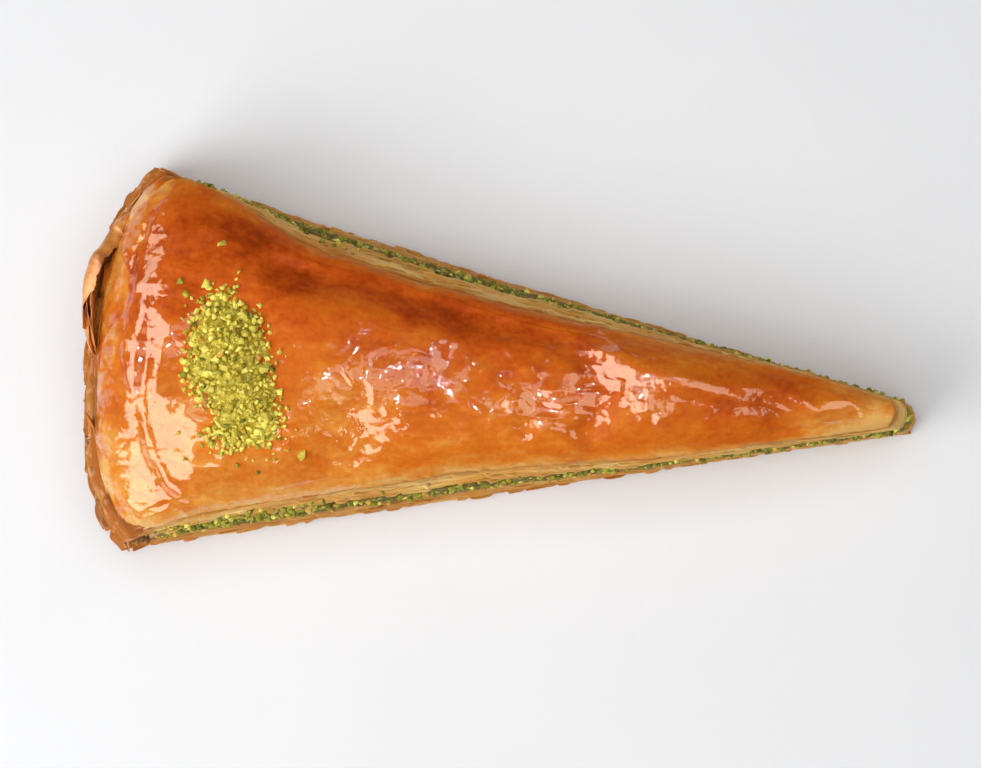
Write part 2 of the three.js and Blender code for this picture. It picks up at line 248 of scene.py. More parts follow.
def top_height(d, y, v):
    """Height of the puffed top, as its solid has it."""
    to_end = to_outer_end(d, v)
    across = (1 - np.abs(v) ** 2.6) ** 0.8
    rounding = (1 - to_end**2.6) ** 0.6
    side = side_height(d)
    puff = (crown_height(d) - side) * across * rounding
    inner = smooth(1 - np.abs(v), 0, 0.25) * smooth(1 - to_end, 0, 0.4) * smooth(d, 4, 16)
    crease = -CREASE_DEPTH * bell(distance_to(CREASE, d, y), 3.2)
    ridge = RIDGE_RISE * bell(distance_to(RIDGE, d, y), 2.6)
    patch = bell(np.hypot(d - BLISTERS["from_tip"], y - BLISTERS["side"]), BLISTERS["reach"])
    blisters = BLISTER_RISE * patch * uneven(d, y, 7, 1.7)
    sag = 0.9 * uneven(d, y, 38, 0.6)
    return side + puff + inner * (crease + ridge + blisters + sag) + 0.35 * uneven(d, y, 17, 2.4)


def near_tip(d):
    return mix(0.84, 1, smooth(d, 0, TIP_DROOP))


def nut_floor(d, y):
    return near_tip(d) * NUT_FLOOR + 0.5 * uneven(d, y, 31, 0.9)


def nut_roof(d, y):
    return near_tip(d) * NUT_ROOF + 0.6 * uneven(d, y, 27, 2.2)


def lean_at(height):
    return min(max(height / SIDE_HEIGHT, 0), 1) ** LEAN_CURVE


def heap_reach(d, y):
    """0 at the middle of the pinch of pistachio, 1 on its oval rim."""
    across, along = y - HEAP["side"], d - HEAP["from_tip"]
    turn_cos, turn_sin = math.cos(HEAP["tilt"]), math.sin(HEAP["tilt"])
    long = across * turn_cos + along * turn_sin
    short = along * turn_cos - across * turn_sin
    return np.hypot(long / HEAP["half_length"], short / HEAP["half_width"])


# ------------ meshes from arrays


def in_frame(d, y, z):
    """Points in the frame, in metres, from distances off the tip."""
    return np.stack([TIP_X - d, y + MIDDLE_Y, z + 0 * d], axis=-1) * MM


def plain_mesh(name, points, faces, facts=None):
    """A mesh; facts are values for each point that a finish or the strewing reads."""
    mesh = bpy.data.meshes.new(name)
    mesh.from_pydata([tuple(p) for p in np.asarray(points).reshape(-1, 3)], [], faces)
    for label, values in (facts or {}).items():
        store = mesh.attributes.new(label, "FLOAT", "POINT")
        store.data.foreach_set("value", np.asarray(values, np.float32).ravel())
    return mesh


def mesh_piece(name, points, faces, finish, facts=None):
    """A smooth mesh in one finish, as an object at the origin."""
    mesh = plain_mesh(name, points, faces, facts)
    mesh.polygons.foreach_set("use_smooth", [True] * len(mesh.polygons))
    mesh.materials.append(finish)
    piece = bpy.data.objects.new(name, mesh)
    bpy.context.scene.collection.objects.link(piece)
    return piece


def band_faces(low, high):
    """Faces between two rings of point numbers."""
    return np.stack([low, high, np.roll(high, -1), np.roll(low, -1)], axis=1).tolist()


def ring_faces(rows, count, first=0):
    """Faces between rings of count points that lie one over another, lowest first."""
    rings = first + np.arange(rows * count).reshape(rows, count)
    return [face for low, high in zip(rings, rings[1:]) for face in band_faces(low, high)]


def lid_faces(along, across, tip, first, upwards):
    """Closes a ring that runs up one side, round the outer end, down the other and past the tip:
    rungs from side to side, then the end and the tip as one face each."""
    back = 2 * along + across
    faces = [[i, i + 1, back - i - 1, back - i] for i in range(along)]
    faces.append(list(range(along, along + across + 1)))
    faces.append([*range(back, back + tip), 0])
    return [[first + i for i in (face[::-1] if upwards else face)] for face in faces]


def grid_faces(index, flip=False):
    """Faces over a grid of point numbers, facing up unless flipped."""
    a, b = index[:-1, :-1], index[1:, :-1]
    quads = np.stack([a, a + 1, b + 1, b], axis=-1).reshape(-1, 4)
    return (quads[:, ::-1] if flip else quads).tolist()


def grid_rim(index):
    """The point numbers round a grid: first column, last row, last column, first row."""
    return np.concatenate([index[:-1, 0], index[-1, :-1], index[:0:-1, -1], index[0, :0:-1]])


def slab_faces(shape):
    """Faces of a slab: a grid of points, the same grid again under it, and the rim between."""
    face, back = np.arange(2 * shape[0] * shape[1]).reshape(2, *shape)
    rim = band_faces(grid_rim(back), grid_rim(face))
    return grid_faces(face) + grid_faces(back, flip=True) + rim


# ------------ finishes


def linear(colour):
    """An sRGB hex colour as the linear values a shader takes."""
    parts = [int(colour[i : i + 2], 16) / 255 for i in (1, 3, 5)]
    return [c / 12.92 if c <= 0.04045 else ((c + 0.055) / 1.055) ** 2.4 for c in parts] + [1.0]


def add(tree, kind, inputs=None, out=0, stops=(), **settings):
    """Adds a node with its settings and gives one of its outputs. An input takes a value, a hex
    colour or another node's output; stops are a colour ramp's (place, hex colour) pairs."""
    node = tree.nodes.new(kind)
    for key, value in settings.items():
        setattr(node, key, value)
    for number, (at, colour) in enumerate(stops):
        band = node.color_ramp.elements
        stop = band[number] if number < len(band) else band.new(at)
        stop.position, stop.color = at, linear(colour)
    for label, value in (inputs or {}).items():
        if isinstance(value, bpy.types.NodeSocket):
            tree.links.new(value, node.inputs[label])
        else:
            hex_colour = isinstance(value, str) and value.startswith("#")
            node.inputs[label].default_value = linear(value) if hex_colour else value
    return node.outputs[out] if node.outputs else None


def blank_finish(name, *facts):
    """A finish, its empty tree, and an output for each of the facts that its pieces carry."""
    finish = bpy.data.materials.new(name)
    finish.use_nodes = True
    tree = finish.node_tree
    tree.nodes.clear()
    carried = [add(tree, "ShaderNodeAttribute", out="Fac", attribute_name=f) for f in facts]
    return finish, tree, *carried


def finish_with(tree, looks, see_through=None, relief=None):
    """Adds the shader. see_through is the share of light that passes into the surface, how far
    in mm and its tint; relief is a pattern, its depth in mm and strength, by socket."""
    if see_through:
        share, reach_mm, tint = see_through
        looks |= {"Subsurface Weight": share, "Subsurface Scale": reach_mm * MM}
        looks["Subsurface Radius"] = tint
    for socket, (pattern, depth_mm, strength) in (relief or {}).items():
        bump = {"Height": pattern, "Distance": depth_mm * MM, "Strength": strength}
        looks[socket] = add(tree, "ShaderNodeBump", bump)
    shader = add(tree, "ShaderNodeBsdfPrincipled", looks)
    add(tree, "ShaderNodeOutputMaterial", {"Surface": shader})


def grain(tree, wave_mm, detail, stretch=(1, 1, 1), distortion=0.0, spread=()):
    """Noise over the piece with its crests wave_mm apart, drawn out along an axis by stretch.
    spread is the low and high of what is used of it, then the low and high it is brought to."""
    at = add(tree, "ShaderNodeTexCoord", out="Object")
    at = add(tree, "ShaderNodeMapping", {"Vector": at, "Scale": stretch})
    looks = {"Vector": at, "Scale": 1 / (wave_mm * MM), "Detail": detail, "Distortion": distortion}
    level = add(tree, "ShaderNodeTexNoise", looks)
    if spread:
        level = add(tree, "ShaderNodeMapRange", dict(enumerate((level, *spread))))
    return level


def mottled(tree, value, pattern, stops):
    """Colours along a value that a pattern makes uneven."""
    level = add(tree, "ShaderNodeMath", {0: value, 1: pattern}, operation="ADD", use_clamp=True)
    return add(tree, "ShaderNodeValToRGB", {"Fac": level}, stops=stops)


def layered(tree, colour, *layers):
    """Colours one over another: each layer is (where, how much at most, hex colour)."""
    for where, most, over in layers:
        share = add(tree, "ShaderNodeMath", {0: where, 1: most}, operation="MULTIPLY")
        colour = add(tree, "ShaderNodeMix", {0: share, 6: colour, 7: over}, out=2, data_type="RGBA")
    return colour


def glazed_filo():
    """Filo baked in butter and flooded with hot sugar syrup. The browned sheet is mottled; where
    syrup stands on it as a film it is smooth as varnish, with pale sharp highlights, and where
    it soaked in there is only a faint sheen. The sheet's own grain is finer than 0.3 mm and is
    drawn at 0.9 mm, so that it shows."""
    name = "browned filo under sugar syrup"
    finish, tree, bake, film, crinkle = blank_finish(name, "bake", "film", "crinkle")
    cloudy = grain(tree, 9, 4, distortion=0.6, spread=(0.3, 0.7, -0.1, 0.1))
    streaky = grain(tree, 2.4, 5, (0.5, 1, 1), 0.5, (0.3, 0.7, -0.1, 0.1))
    speckled = grain(tree, 1.1, 3, distortion=0.4, spread=(0.32, 0.68, -0.06, 0.06))
    broken = grain(tree, 3.8, 8, (1, 1.5, 1), 1.0, (0.33, 0.67, -0.45, 0.45))
    # The skin's colour value is its bake, with painted shade on the upper side and in the crease
    # and a painted highlight on the shoulder.
    baked = add(tree, "ShaderNodeMath", {0: bake, 1: cloudy}, operation="ADD")
    marks = add(tree, "ShaderNodeMath", {0: streaky, 1: speckled}, operation="ADD")
    stops = [(0.0, "#e8b264"), (0.2, "#e3933a"), (0.4, "#d8741c")]
    stops += [(0.62, "#cb5a12"), (0.82, "#ad410a"), (1.0, "#7c3008")]
    wet = add(tree, "ShaderNodeMath", {0: film, 1: broken}, operation="ADD")
    edge = {"From Min": 0.45, "From Max": 0.56, "To Min": 0.02, "To Max": 1.0}
    lines = grain(tree, 1.4, 2, distortion=0.5)
    crinkles = add(tree, "ShaderNodeMath", {0: lines, 1: crinkle}, operation="MULTIPLY")
    looks = {"Base Color": mottled(tree, baked, marks, stops), "Roughness": 0.5, "IOR": 1.45}
    looks |= {"Specular IOR Level": 0.05, "Coat Roughness": 0.06, "Coat IOR": 1.7}
    looks["Coat Weight"] = add(tree, "ShaderNodeMapRange", {"Value": wet, **edge})
    relief = {"Normal": (grain(tree, 0.9, 3), 0.06, 1.0), "Coat Normal": (crinkles, 0.13, 1.0)}
    finish_with(tree, looks, (0.2, 1.6, (1.0, 0.42, 0.14)), relief)
    return finish


def soaked_filo():
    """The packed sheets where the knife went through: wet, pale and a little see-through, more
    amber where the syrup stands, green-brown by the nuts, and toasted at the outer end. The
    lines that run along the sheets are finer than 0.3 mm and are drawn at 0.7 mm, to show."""
    name = "packed filo sheets soaked in syrup"
    finish, tree, soak, olive, toast, seam = blank_finish(name, "soak", "olive", "toast", "seam")
    patches = grain(tree, 6, 3, (0.4, 0.4, 1), spread=(0.32, 0.68, -0.3, 0.3))
    streaks = grain(tree, 0.7, 2, (0.12, 0.12, 1), spread=(0.25, 0.75))
    amber = mottled(tree, soak, patches, [(0.0, "#fbcd7c"), (0.45, "#eea747"), (1.0, "#d17c20")])
    layers = [(olive, 0.42, "#a8812e"), (streaks, 0.36, "#fad893")]
    # The seam colour is painted shade in the gaps between the sheets.
    layers += [(toast, 1.0, "#b5651d"), (seam, 0.8, "#6b4212")]
    looks = {"Base Color": layered(tree, amber, *layers), "Roughness": 0.45, "IOR": 1.45}
    looks |= {"Specular IOR Level": 0.08, "Coat Roughness": 0.1, "Coat IOR": 1.48}
    looks["Coat Weight"] = grain(tree, 1.8, 3, spread=(0.52, 0.58, 0.0, 0.55))
    finish_with(tree, looks, (0.3, 1.5, (1.0, 0.6, 0.22)), {"Normal": (streaks, 0.1, 0.6)})
    return finish


def crisp_filo():
    """Sheet edges and flakes that baked dry against the tray: brittle, brown and only thinly
    glazed, so they are duller than the top and darker along their torn rims."""
    finish, tree, tone = blank_finish("crisp browned filo flake", "tone")
    mottle = grain(tree, 2.2, 6, (1, 0.35, 1), 0.6, (0.3, 0.7, -0.35, 0.35))
    stops = [(0.0, "#e8a552"), (0.4, "#d78a38"), (0.75, "#bd6c26"), (1.0, "#9a561b")]
    looks = {"Base Color": mottled(tree, tone, mottle, stops), "Roughness": 0.5, "IOR": 1.45}
    looks |= {"Coat Weight": 0.6, "Coat Roughness": 0.22}
    relief = {"Normal": (grain(tree, 1.1, 4, (1, 0.4, 1)), 0.2, 1.0)}
    finish_with(tree, looks, (0.12, 0.8, (1.0, 0.45, 0.16)), relief)
    return finish


def ground_nut(name, fresh, dull):
    """Pistachio ground dry: matte chips with a faint oily sheen, each a little lighter or
    darker than the next."""
    finish, tree, tone = blank_finish(name, "tone")
    speck = grain(tree, 0.9, 2, spread=(0.3, 0.7, -0.18, 0.18))
    colour = mottled(tree, tone, speck, [(0.0, dull), (1.0, fresh)])
    looks = {"Base Color": colour, "Roughness": 0.6, "IOR": 1.46, "Specular IOR Level": 0.25}
    relief = {"Normal": (grain(tree, 0.35, 2), 0.05, 0.5)}
    finish_with(tree, looks, (0.2, 0.8, (1.0, 0.8, 0.25)), relief)
    return finish


def damp_nut_layer():
    """Ground pistachio packed between the sheets and wet with syrup: darker than the dry
    pinch, green where the chips are fresh and brown where butter and syrup have soaked in."""
    finish, tree, toast = blank_finish("ground pistachio damp with syrup", "toast")
    chips = grain(tree, 1.5, 3, spread=(0.35, 0.65))
    patches = grain(tree, 6, 3, spread=(0.35, 0.65))
    layers = [(chips, 1.0, "#8f8430"), (patches, 0.5, "#7d561a"), (toast, 1.0, "#6b3d14")]
    looks = {"Base Color": layered(tree, "#5c5214", *layers), "Roughness": 0.45, "IOR": 1.46}
    looks |= {"Specular IOR Level": 0.1}
    finish_with(tree, looks, (0.1, 0.7, (1.0, 0.8, 0.25)), {"Normal": (chips, 0.25, 0.8)})
    return finish


# ------------ the puffed top sheet

SKIN_ALONG = 400
SKIN_ACROSS = 220
# How far from the sides and from the outer end the topmost sheets stop
SIDE_STEPS = (0.6, 1.5, 2.7)
END_STEPS = (1.0, 2.4, 4.0, 5.9, 8.4)

# Knuckled folds, and the lines where syrup stands on a ridge, as (from tip, side)
KNUCKLES = ((64, 8), (61, 5), (56, 0), (50, -5))
WET_RIDGE = ((53, 3), (43, 0), (33, -1), (24, -2), (14, -1))
WET_CREASE = ((72, 7), (66, 4), (60, 3))

# The skin's rim: how far each ring of it stands out, how far down it lies and how much darker
# it is, from the ring that closes it below up to its lip
RIM = (
    (-1.3, SKIN, 0.3),
    (-0.06, SKIN, 0.25),
    (0.08, 0.65 * SKIN, 0.15),
    (0.07, 0.25 * SKIN, 0.05),
)


def shoulder_fold(d, y):
    """The soft fold that runs round inside the outer end, with a roll outside it."""
    off = distance_to(SHOULDER_FOLD, d, y + 0.8 * noise(d / 9, y / 9, 41))
    outside = d > np.interp(y, [p[1] for p in SHOULDER_FOLD], [p[0] for p in SHOULDER_FOLD])
    roll = np.where(outside, 0.4 * bell(off - 2.6, 1.9), 0.15 * bell(off - 3.5, 2.5))
    strength = 1 - 0.6 * smooth(y, -2, 10)
    return strength * (roll - 0.6 * bell(off, 1.4))


def creased(x, y, seed):
    """Noise as folds: 1 along a fold, -1 between two."""
    return 1 - np.abs(noise(x, y, seed)) * 2


def drapery(d, y):
    """Shallow curved folds in the sheet, drawn out along the slice and bent by a slower swell."""
    warp_d = d + 4.0 * noise(d / 21, y / 15, 3)
    warp_y = y + 2.6 * noise(d / 17, y / 13, 4)
    fold = creased(warp_d / 13, warp_y / 5.2, 5)
    fine = creased(warp_d / 5.5, warp_y / 2.6, 6)
    wrinkled = smooth(d, 134, 146)
    return (0.14 + 0.12 * wrinkled) * fold + (0.05 + 0.05 * wrinkled) * fine


def near(d, y, from_tip, side, along, across):
    """1 at a place and fading with distance from it, further along the slice than across."""
    return bell(np.hypot((d - from_tip) / along, (y - side) / across), 1.0)


def lace(d, y):
    """Where the topmost sheet lies crinkled in its syrup."""
    return near(d, y, 112, -7, 14, 10) + near(d, y, 120, -20, 9, 5)


def veil(d, y):
    return near(d, y, 98, 1.5, 12, 6.5)


def curl(d, y):
    """A thin sheet that lies in curved folds and ends in a sharp border."""
    return near(d, y, 71, -4, 14, 6.5) * smooth(d, 59.5, 60.3)


def frill(d, y):
    """The crumpled corner of the topmost sheets."""
    return near(d, y, 157.5, 24, 3.5, 7)


def outer_band(d, y):
    """The strip along the outer end where the sheets bend over and wrinkle."""
    v = y / half_width(d)
    return 1 - smooth(outer_end(v) - END_LEAN - d, 2.5, 9)


def knuckles(d, y):
    return bell(distance_to(KNUCKLES, d, y), 3.2)


def bubbles(d, y):
    """Little blisters and wrinkles in the syrup skin, closest where the sheet puffed most."""
    small = np.maximum(noise(d / 1.5, y / 1.3, 7), 0) ** 1.5
    swirl = creased(d / 3.2 + 0.7 * noise(d / 6, y / 6, 9), y / 3.0, 8)
    vein = creased(d / 6.5 + 0.9 * noise(d / 5, y / 5, 10), y / 2.7, 12)
    wrinkle = creased(d / 1.7, y / 5.0 + 0.5 * noise(d / 4, y / 4, 14), 13)
    laced = lace(d, y) * (0.1 * swirl + 0.06 * small)
    veiled = veil(d, y) * (0.12 * small + 0.03 * swirl)
    knuckled = knuckles(d, y) * (0.2 * swirl + 0.3 * small)
    crumpled = frill(d, y) * (0.3 * swirl + 0.4 * small)
    crumpled = crumpled + outer_band(d, y) * (0.1 * wrinkle + 0.15 * small)
    return laced + veiled + curl(d, y) * 0.14 * vein + knuckled + crumpled


def syrup_film(d, y):
    """Where the syrup stands on the sheet as a film, about 1, and where it has soaked in, 0."""
    outer = smooth(d, 133, 146) * (1 - smooth(y, 0, 12)) + smooth(d, 148, 154)
    foot = near(d, y, 131, -24, 9, 4.5) + near(d, y, 117, -24.5, 6, 1.8)
    ridge = bell(distance_to(WET_RIDGE, d, y), 2.6)
    glints = bell(distance_to(WET_CREASE, d, y), 2.2)
    patches = 0.75 * lace(d, y) + 0.85 * veil(d, y) + 0.95 * curl(d, y) + 1.1 * knuckles(d, y)
    patches = patches + 0.9 * frill(d, y)
    standing = (0.82 - 0.27 * outer_band(d, y)) * np.clip(outer, 0, 1)
    return np.clip(standing + foot + patches + ridge + 0.8 * glints, 0, 1.0)


def crinkled(d, y):
    """How crinkled the syrup skin is."""
    zones = 0.5 * lace(d, y) + 0.9 * veil(d, y) + 0.3 * curl(d, y) + 0.9 * knuckles(d, y)
    outer = 0.3 * smooth(d, 138, 158) + 0.6 * outer_band(d, y) + frill(d, y)
    beaded = 0.8 * near(d, y, 70, 7, 12, 4) + 0.5 * near(d, y, 52, 3, 8, 4)
    return np.clip(0.2 + zones + beaded + outer + 0.3 * (1 - smooth(d, 35, 50)), 0, 1)


def sheets_short(distance, along, edges, seed):
    """How many of the topmost sheets end short of a place near an edge; each tore off at its
    own distance from it, so that their torn borders lie like steps."""
    short = 0
    for number, edge in enumerate(edges):
        wander = 0.8 * edge * noise(along / (6 + 2.5 * number), number * 3.1, seed + number)
        torn = 0.22 * noise(along / 1.6, number * 5.7, seed + 20 + number)
        short = short + smooth(edge + wander + torn - distance, -0.12, 0.28)
    return short


def torn_steps(d, y, v):
    """How many sheets end short by the sides, whose noise is read far apart, and by the end."""
    to_side = (1 - np.abs(v)) * half_width(d)
    to_end = outer_end(v) - END_LEAN - d
    by_side = sheets_short(to_side, d + 300 * np.sign(v), SIDE_STEPS, 131)
    by_end = sheets_short(to_end, y, END_STEPS, 171)
    return by_side, by_end


def skin_height(d, y, v, steps=(0, 0)):
    """Height of the glazed skin: the solid's form with the fine folds and blisters on it."""
    inner = smooth(1 - np.abs(v), 0, 0.12) * smooth(d, 5, 14)
    by_side, by_end = steps
    swell = 0.24 * rough(d, y, 11, 2, 21)
    fine = 0.03 * rough(d, y, 2.4, 2, 22)
    draped = inner * (swell + drapery(d, y) + bubbles(d, y) + shoulder_fold(d, y))
    return top_height(d, y, v) + draped + fine - SHEET * (by_side + 1.4 * by_end)


def skin_bake_and_painted_light(d, y, v, steps):
    """Colour of the skin, 0 pale gold to 1 dark brown: its bake, with painted shade and a painted
    highlight.
    """
    by_side, by_end = steps
    # Darker towards the upper side: painted shade on the side turned away from the light.
    upper = 0.26 * smooth(v, -0.75, 0.35)
    # Darker along the crease: its browner bake, with painted shade in the fold.
    crease_bake_and_shade = 0.12 * bell(distance_to(CREASE, d, y), 4.0)
    pale_rim = 0.16 * smooth(np.abs(v), 0.86, 1.0) + 0.03 * by_side
    pale_tip = 0.34 * (1 - smooth(d, 6, 30))
    at_end = 0.1 * by_end * noise(d / 3, y / 6, 33, by_end)
    clouds = 0.12 * rough(d, y, 24, 3, 31)
    darker = 0.12 * near(d, y, 130, 24, 26, 10) + 0.2 * near(d, y, 40, -6, 22, 8)
    # Paler on the shoulder at 147 mm: a painted highlight where the shoulder faces the light.
    paler = 0.14 * near(d, y, 48, 8, 26, 5) + 0.18 * near(d, y, 147, -8, 8, 15)
    paler = paler + 0.16 * outer_band(d, y)
    bake = 0.36 + upper + crease_bake_and_shade - pale_rim - pale_tip + at_end + clouds + darker - paler
    return np.clip(bake, 0, 1)


def puffed_top(finish):
    """The domed skin: a fine grid with its thin rim turned under, closed below."""
    u = np.linspace(0, 1, SKIN_ALONG + 1)[:, None]
    v = np.linspace(-1, 1, SKIN_ACROSS + 1)[None, :]
    # The noise is read along the rim in mm, and for the two sides in places far apart
    way = 170 * u + 9 * v
    ragged = 0.3 * rough(way, 40 * np.sign(v), 9, 2, 51) + 0.16 * noise(way / 1.4, 9 * v, 53)
    ragged = ragged * smooth(np.abs(v), 0.9, 1)
    d, y = plan(u, v, 1.0, ragged)
    steps = torn_steps(d, y, v)
    z = skin_height(d, y, v, steps)
    grid = in_frame(d, y, z)
    # Colour value of the skin: its bake, with painted shade and a painted highlight.
    bake = skin_bake_and_painted_light(d, y, v, steps)

    index = np.arange(grid.shape[0] * grid.shape[1]).reshape(grid.shape[:2])
    faces = grid_faces(index)
    rim = grid_rim(index)
    rim_u, rim_v = (c.ravel()[rim] for c in np.broadcast_arrays(u, v))
    rim_ragged, rim_z = ragged.ravel()[rim], z.ravel()[rim]
    rings, ring_bake_and_painted_light = [], []
    for push, drop, darker in RIM:
        rd, ry = plan(rim_u, rim_v, 1.0, rim_ragged + push)
        rings.append(in_frame(rd, ry, rim_z - drop))
        ring_bake_and_painted_light.append(np.clip(bake.ravel()[rim] + darker, 0, 1))
    first, count = index.size, len(rim)
    faces += ring_faces(len(rings), count, first)
    last = first + (len(rings) - 1) * count
    faces += band_faces(last + np.arange(count), rim)
    faces += lid_faces(SKIN_ALONG, SKIN_ACROSS, SKIN_ACROSS, first, upwards=False)
    points = np.concatenate([grid.reshape(-1, 3), *rings])
    turned_under = np.zeros(len(points) - index.size)
    facts = {
        "bake": np.concatenate([bake.ravel(), *ring_bake_and_painted_light]),
        "film": np.concatenate([syrup_film(d, y).ravel(), turned_under]),
        "crinkle": np.concatenate([crinkled(d, y).ravel(), turned_under]),
    }
    return mesh_piece("puffed_top", points, faces, finish, facts)


# ------------ packed sheets at the cuts


def wall_stations():
    """Round the outline: one side from the tip, the outer end, the other side, the tip; with the
    distance gone, which runs on past each corner."""
    along = np.arange(WALL_SIDE) / WALL_SIDE
    across = -1 + 2 * np.arange(WALL_END) / WALL_END
    tip = 1 - 2 * np.arange(WALL_TIP) / WALL_TIP
    u = np.concatenate([along, np.ones(WALL_END), 1 - along, np.zeros(WALL_TIP)])
    v = np.concatenate([-np.ones(WALL_SIDE), across, np.ones(WALL_SIDE), tip])
    d, y = plan(u, v, 0.0)
    gone = np.concatenate([[0], np.cumsum(np.hypot(np.diff(d), np.diff(y)))])
    return u, v, gone


def closed_wall(name, rings, finish, facts):
    """A closed body from rings round the outline, lowest first, with a lid at each end."""
    count = len(rings[0])
    faces = ring_faces(len(rings), count)
    faces += lid_faces(WALL_SIDE, WALL_END, WALL_TIP, 0, upwards=False)
    faces += lid_faces(WALL_SIDE, WALL_END, WALL_TIP, (len(rings) - 1) * count, upwards=True)
    return mesh_piece(name, np.concatenate(rings), faces, finish, facts)


def crust_share(u):
    """0 on the cut sides, 1 on the outer end, which baked against the tray, and on its corners."""
    return smooth(u, 0.955, 0.985)


def sheet_lip(s, number, crust, seed):
    """How far a sheet's edge stands out of the wall, in mm: wavy, torn back in places and with
    a flake left on in others."""
    wavy = 0.26 * noise(s / 9, number * 3.7, seed) + 0.15 * noise(s / 3, number * 5.3, seed + 1)
    frayed = 0.08 * noise(s / 1.1, number * 7.1, seed + 2)
    torn = 0.5 * smooth(noise(s / 5.5, number * 2.3, seed + 3), 0.3, 0.55)
    flake = 0.5 * smooth(noise(s / 3.5, number * 9.1, seed + 4), 0.42, 0.7)
    on_cut = wavy + frayed - torn + flake
    rough_end = 0.7 * noise(s / 8, number * 3.7, seed + 5)
    rough_end = rough_end + 0.25 * noise(s / 2.6, number * 5.3, seed + 6)
    flap = 0.9 * smooth(noise(s / 6, number * 4.9, seed + 7), 0.25, 0.5)
    return mix(on_cut, rough_end + flap - 0.2 + 0.5 * frayed, crust)


def packed_sheets(name, low, high, sheets, finish, facts_at, gap, wave, seed):
    """A closed body whose wall is the edges of packed sheets. low and high give the lean and the
    height at a place; gap is how deep the seams are, and wave how far the sheets rise and fall."""
    u, v, s = wall_stations()
    (low_lean, low_height), (high_lean, high_height) = low, high
    lips = [(k, share, depth) for k in range(sheets) for share, depth in SHEET_PROFILE]
    rings, facts = [], []
    for number, share, depth in lips:
        t = (number + share) / sheets
        room = 4 * t * (1 - t)
        long_wave = noise(s / 24, t * 1.7, seed + 10) + 0.45 * noise(s / 8, t * 4.5, seed + 11)
        t = t + wave * room * long_wave
        lean = mix(low_lean ** (1 / LEAN_CURVE), high_lean ** (1 / LEAN_CURVE), t) ** LEAN_CURVE
        crust = crust_share(u)
        lip = sheet_lip(s, number, crust, seed)
        opened = np.clip(0.5 + 0.75 * noise(s / 11, number * 1.3, seed + 12), 0.06, 1.2)
        push = lip + depth * gap * opened
        if number == 0 or number == sheets - 1:
            push = push - 0.2
        d, y = plan(u, v, lean, push)
        rings.append(in_frame(d, y, mix(low_height(d, y, v), high_height(d, y, v), t)))
        # How deep a place lies in a gap between sheets, which the finish darkens as painted shade.
        facts.append(facts_at(d, s, t, number, crust, -depth * opened))
    store = {}
    for label in facts[0]:
        store[label] = np.stack([np.broadcast_to(f[label], s.shape) for f in facts])
    return closed_wall(name, rings, finish, store)


def upper_facts(d, s, t, number, crust, seam):
    """Pale in the middle, golden under the skin and greener over the nuts."""
    over_nuts = (1 - smooth(t, 0.0, 0.45)) * (0.7 + 0.4 * noise(s / 8, number, 202))
    under_skin = 0.75 * smooth(t, 0.62, 1.0) + 0.2 * noise(s / 9, number * 1.9, 203)
    return {
        "seam": seam * (0.3 + 0.7 * smooth(d, 4, 12)),
        "soak": 0.35 + 0.35 * noise(s / 14, number * 0.6, 201),
        "olive": over_nuts * smooth(d, 4, 12),
        "toast": np.clip(under_skin + 0.8 * crust, 0, 1),
    }


def lower_facts(d, s, t, number, crust, seam):
    """Soaked through and amber, greener under the nuts, with a browner sole."""
    return {
        "seam": seam * 0.8,
        "soak": 0.75 + 0.35 * noise(s / 16, number * 0.6, 211),
        "olive": smooth(t, 0.6, 1.0) * (0.6 + 0.4 * noise(s / 8, number, 212)),
        "toast": np.clip(0.45 * (1 - smooth(t, 0.0, 0.25)) + 0.8 * crust, 0, 1),
    }


def upper_sheets(finish):
    low = (lean_at(NUT_ROOF), lambda d, y, v: nut_roof(d, y) + 0.05)
    high = (1.0, lambda d, y, v: top_height(d, y, v) - 0.8 * SKIN)
    how = dict(gap=0.8, wave=0.075, seed=60)
    return packed_sheets("upper_sheets", low, high, UPPER_SHEETS, finish, upper_facts, **how)


def lower_sheets(finish):
    low = (0.0, lambda d, y, v: 0 * d)
    high = (lean_at(NUT_FLOOR), lambda d, y, v: nut_floor(d, y) - 0.05)
    how = dict(gap=0.4, wave=0.035, seed=80)
    return packed_sheets("lower_sheets", low, high, LOWER_SHEETS, finish, lower_facts, **how)


def nut_wall(rows, push_at):
    """Rings up the face of the nut layer, and how crusty they are; push_at says how far a place
    stands out."""
    u, v, s = wall_stations()
    rings = []
    for t in np.linspace(0, 1, rows + 1):
        height = mix(NUT_FLOOR, NUT_ROOF, t)
        d, y = plan(u, v, lean_at(height), push_at(s, height, t))
        rings.append(in_frame(d, y, mix(nut_floor(d, y) + 0.02, nut_roof(d, y) - 0.02, t)))
    return rings, np.tile(crust_share(u), rows + 1)


def nut_layer(finish):
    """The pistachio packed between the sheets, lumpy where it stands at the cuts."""

    def lumps(s, height, t):
        return (0.55 * rough(s, height, 2.1, 3, 71) - 0.25) * (0.3 + 0.7 * math.sin(math.pi * t))

    rings, crust = nut_wall(22, lumps)
    return closed_wall("nut_layer", rings, finish, {"toast": crust})


# ------------ the loose sheet


def smooth_course(course, steps):
    """Points along a smooth curve through the course's own points."""
    knots = np.array([course[0], *course, course[-1]], float)
    knots[0] = 2 * knots[1] - knots[2]
    knots[-1] = 2 * knots[-2] - knots[-3]
    spans = len(course) - 1
    t = np.linspace(0, spans - 1e-9, steps + 1)
    i = t.astype(int)
    f = (t - i)[:, None]
    a, b, c, e = (knots[i + n] for n in range(4))
    bend, twist = 2 * a - 5 * b + 4 * c - e, 3 * b - a - 3 * c + e
    return 0.5 * (2 * b + (c - a) * f + bend * f**2 + twist * f**3)


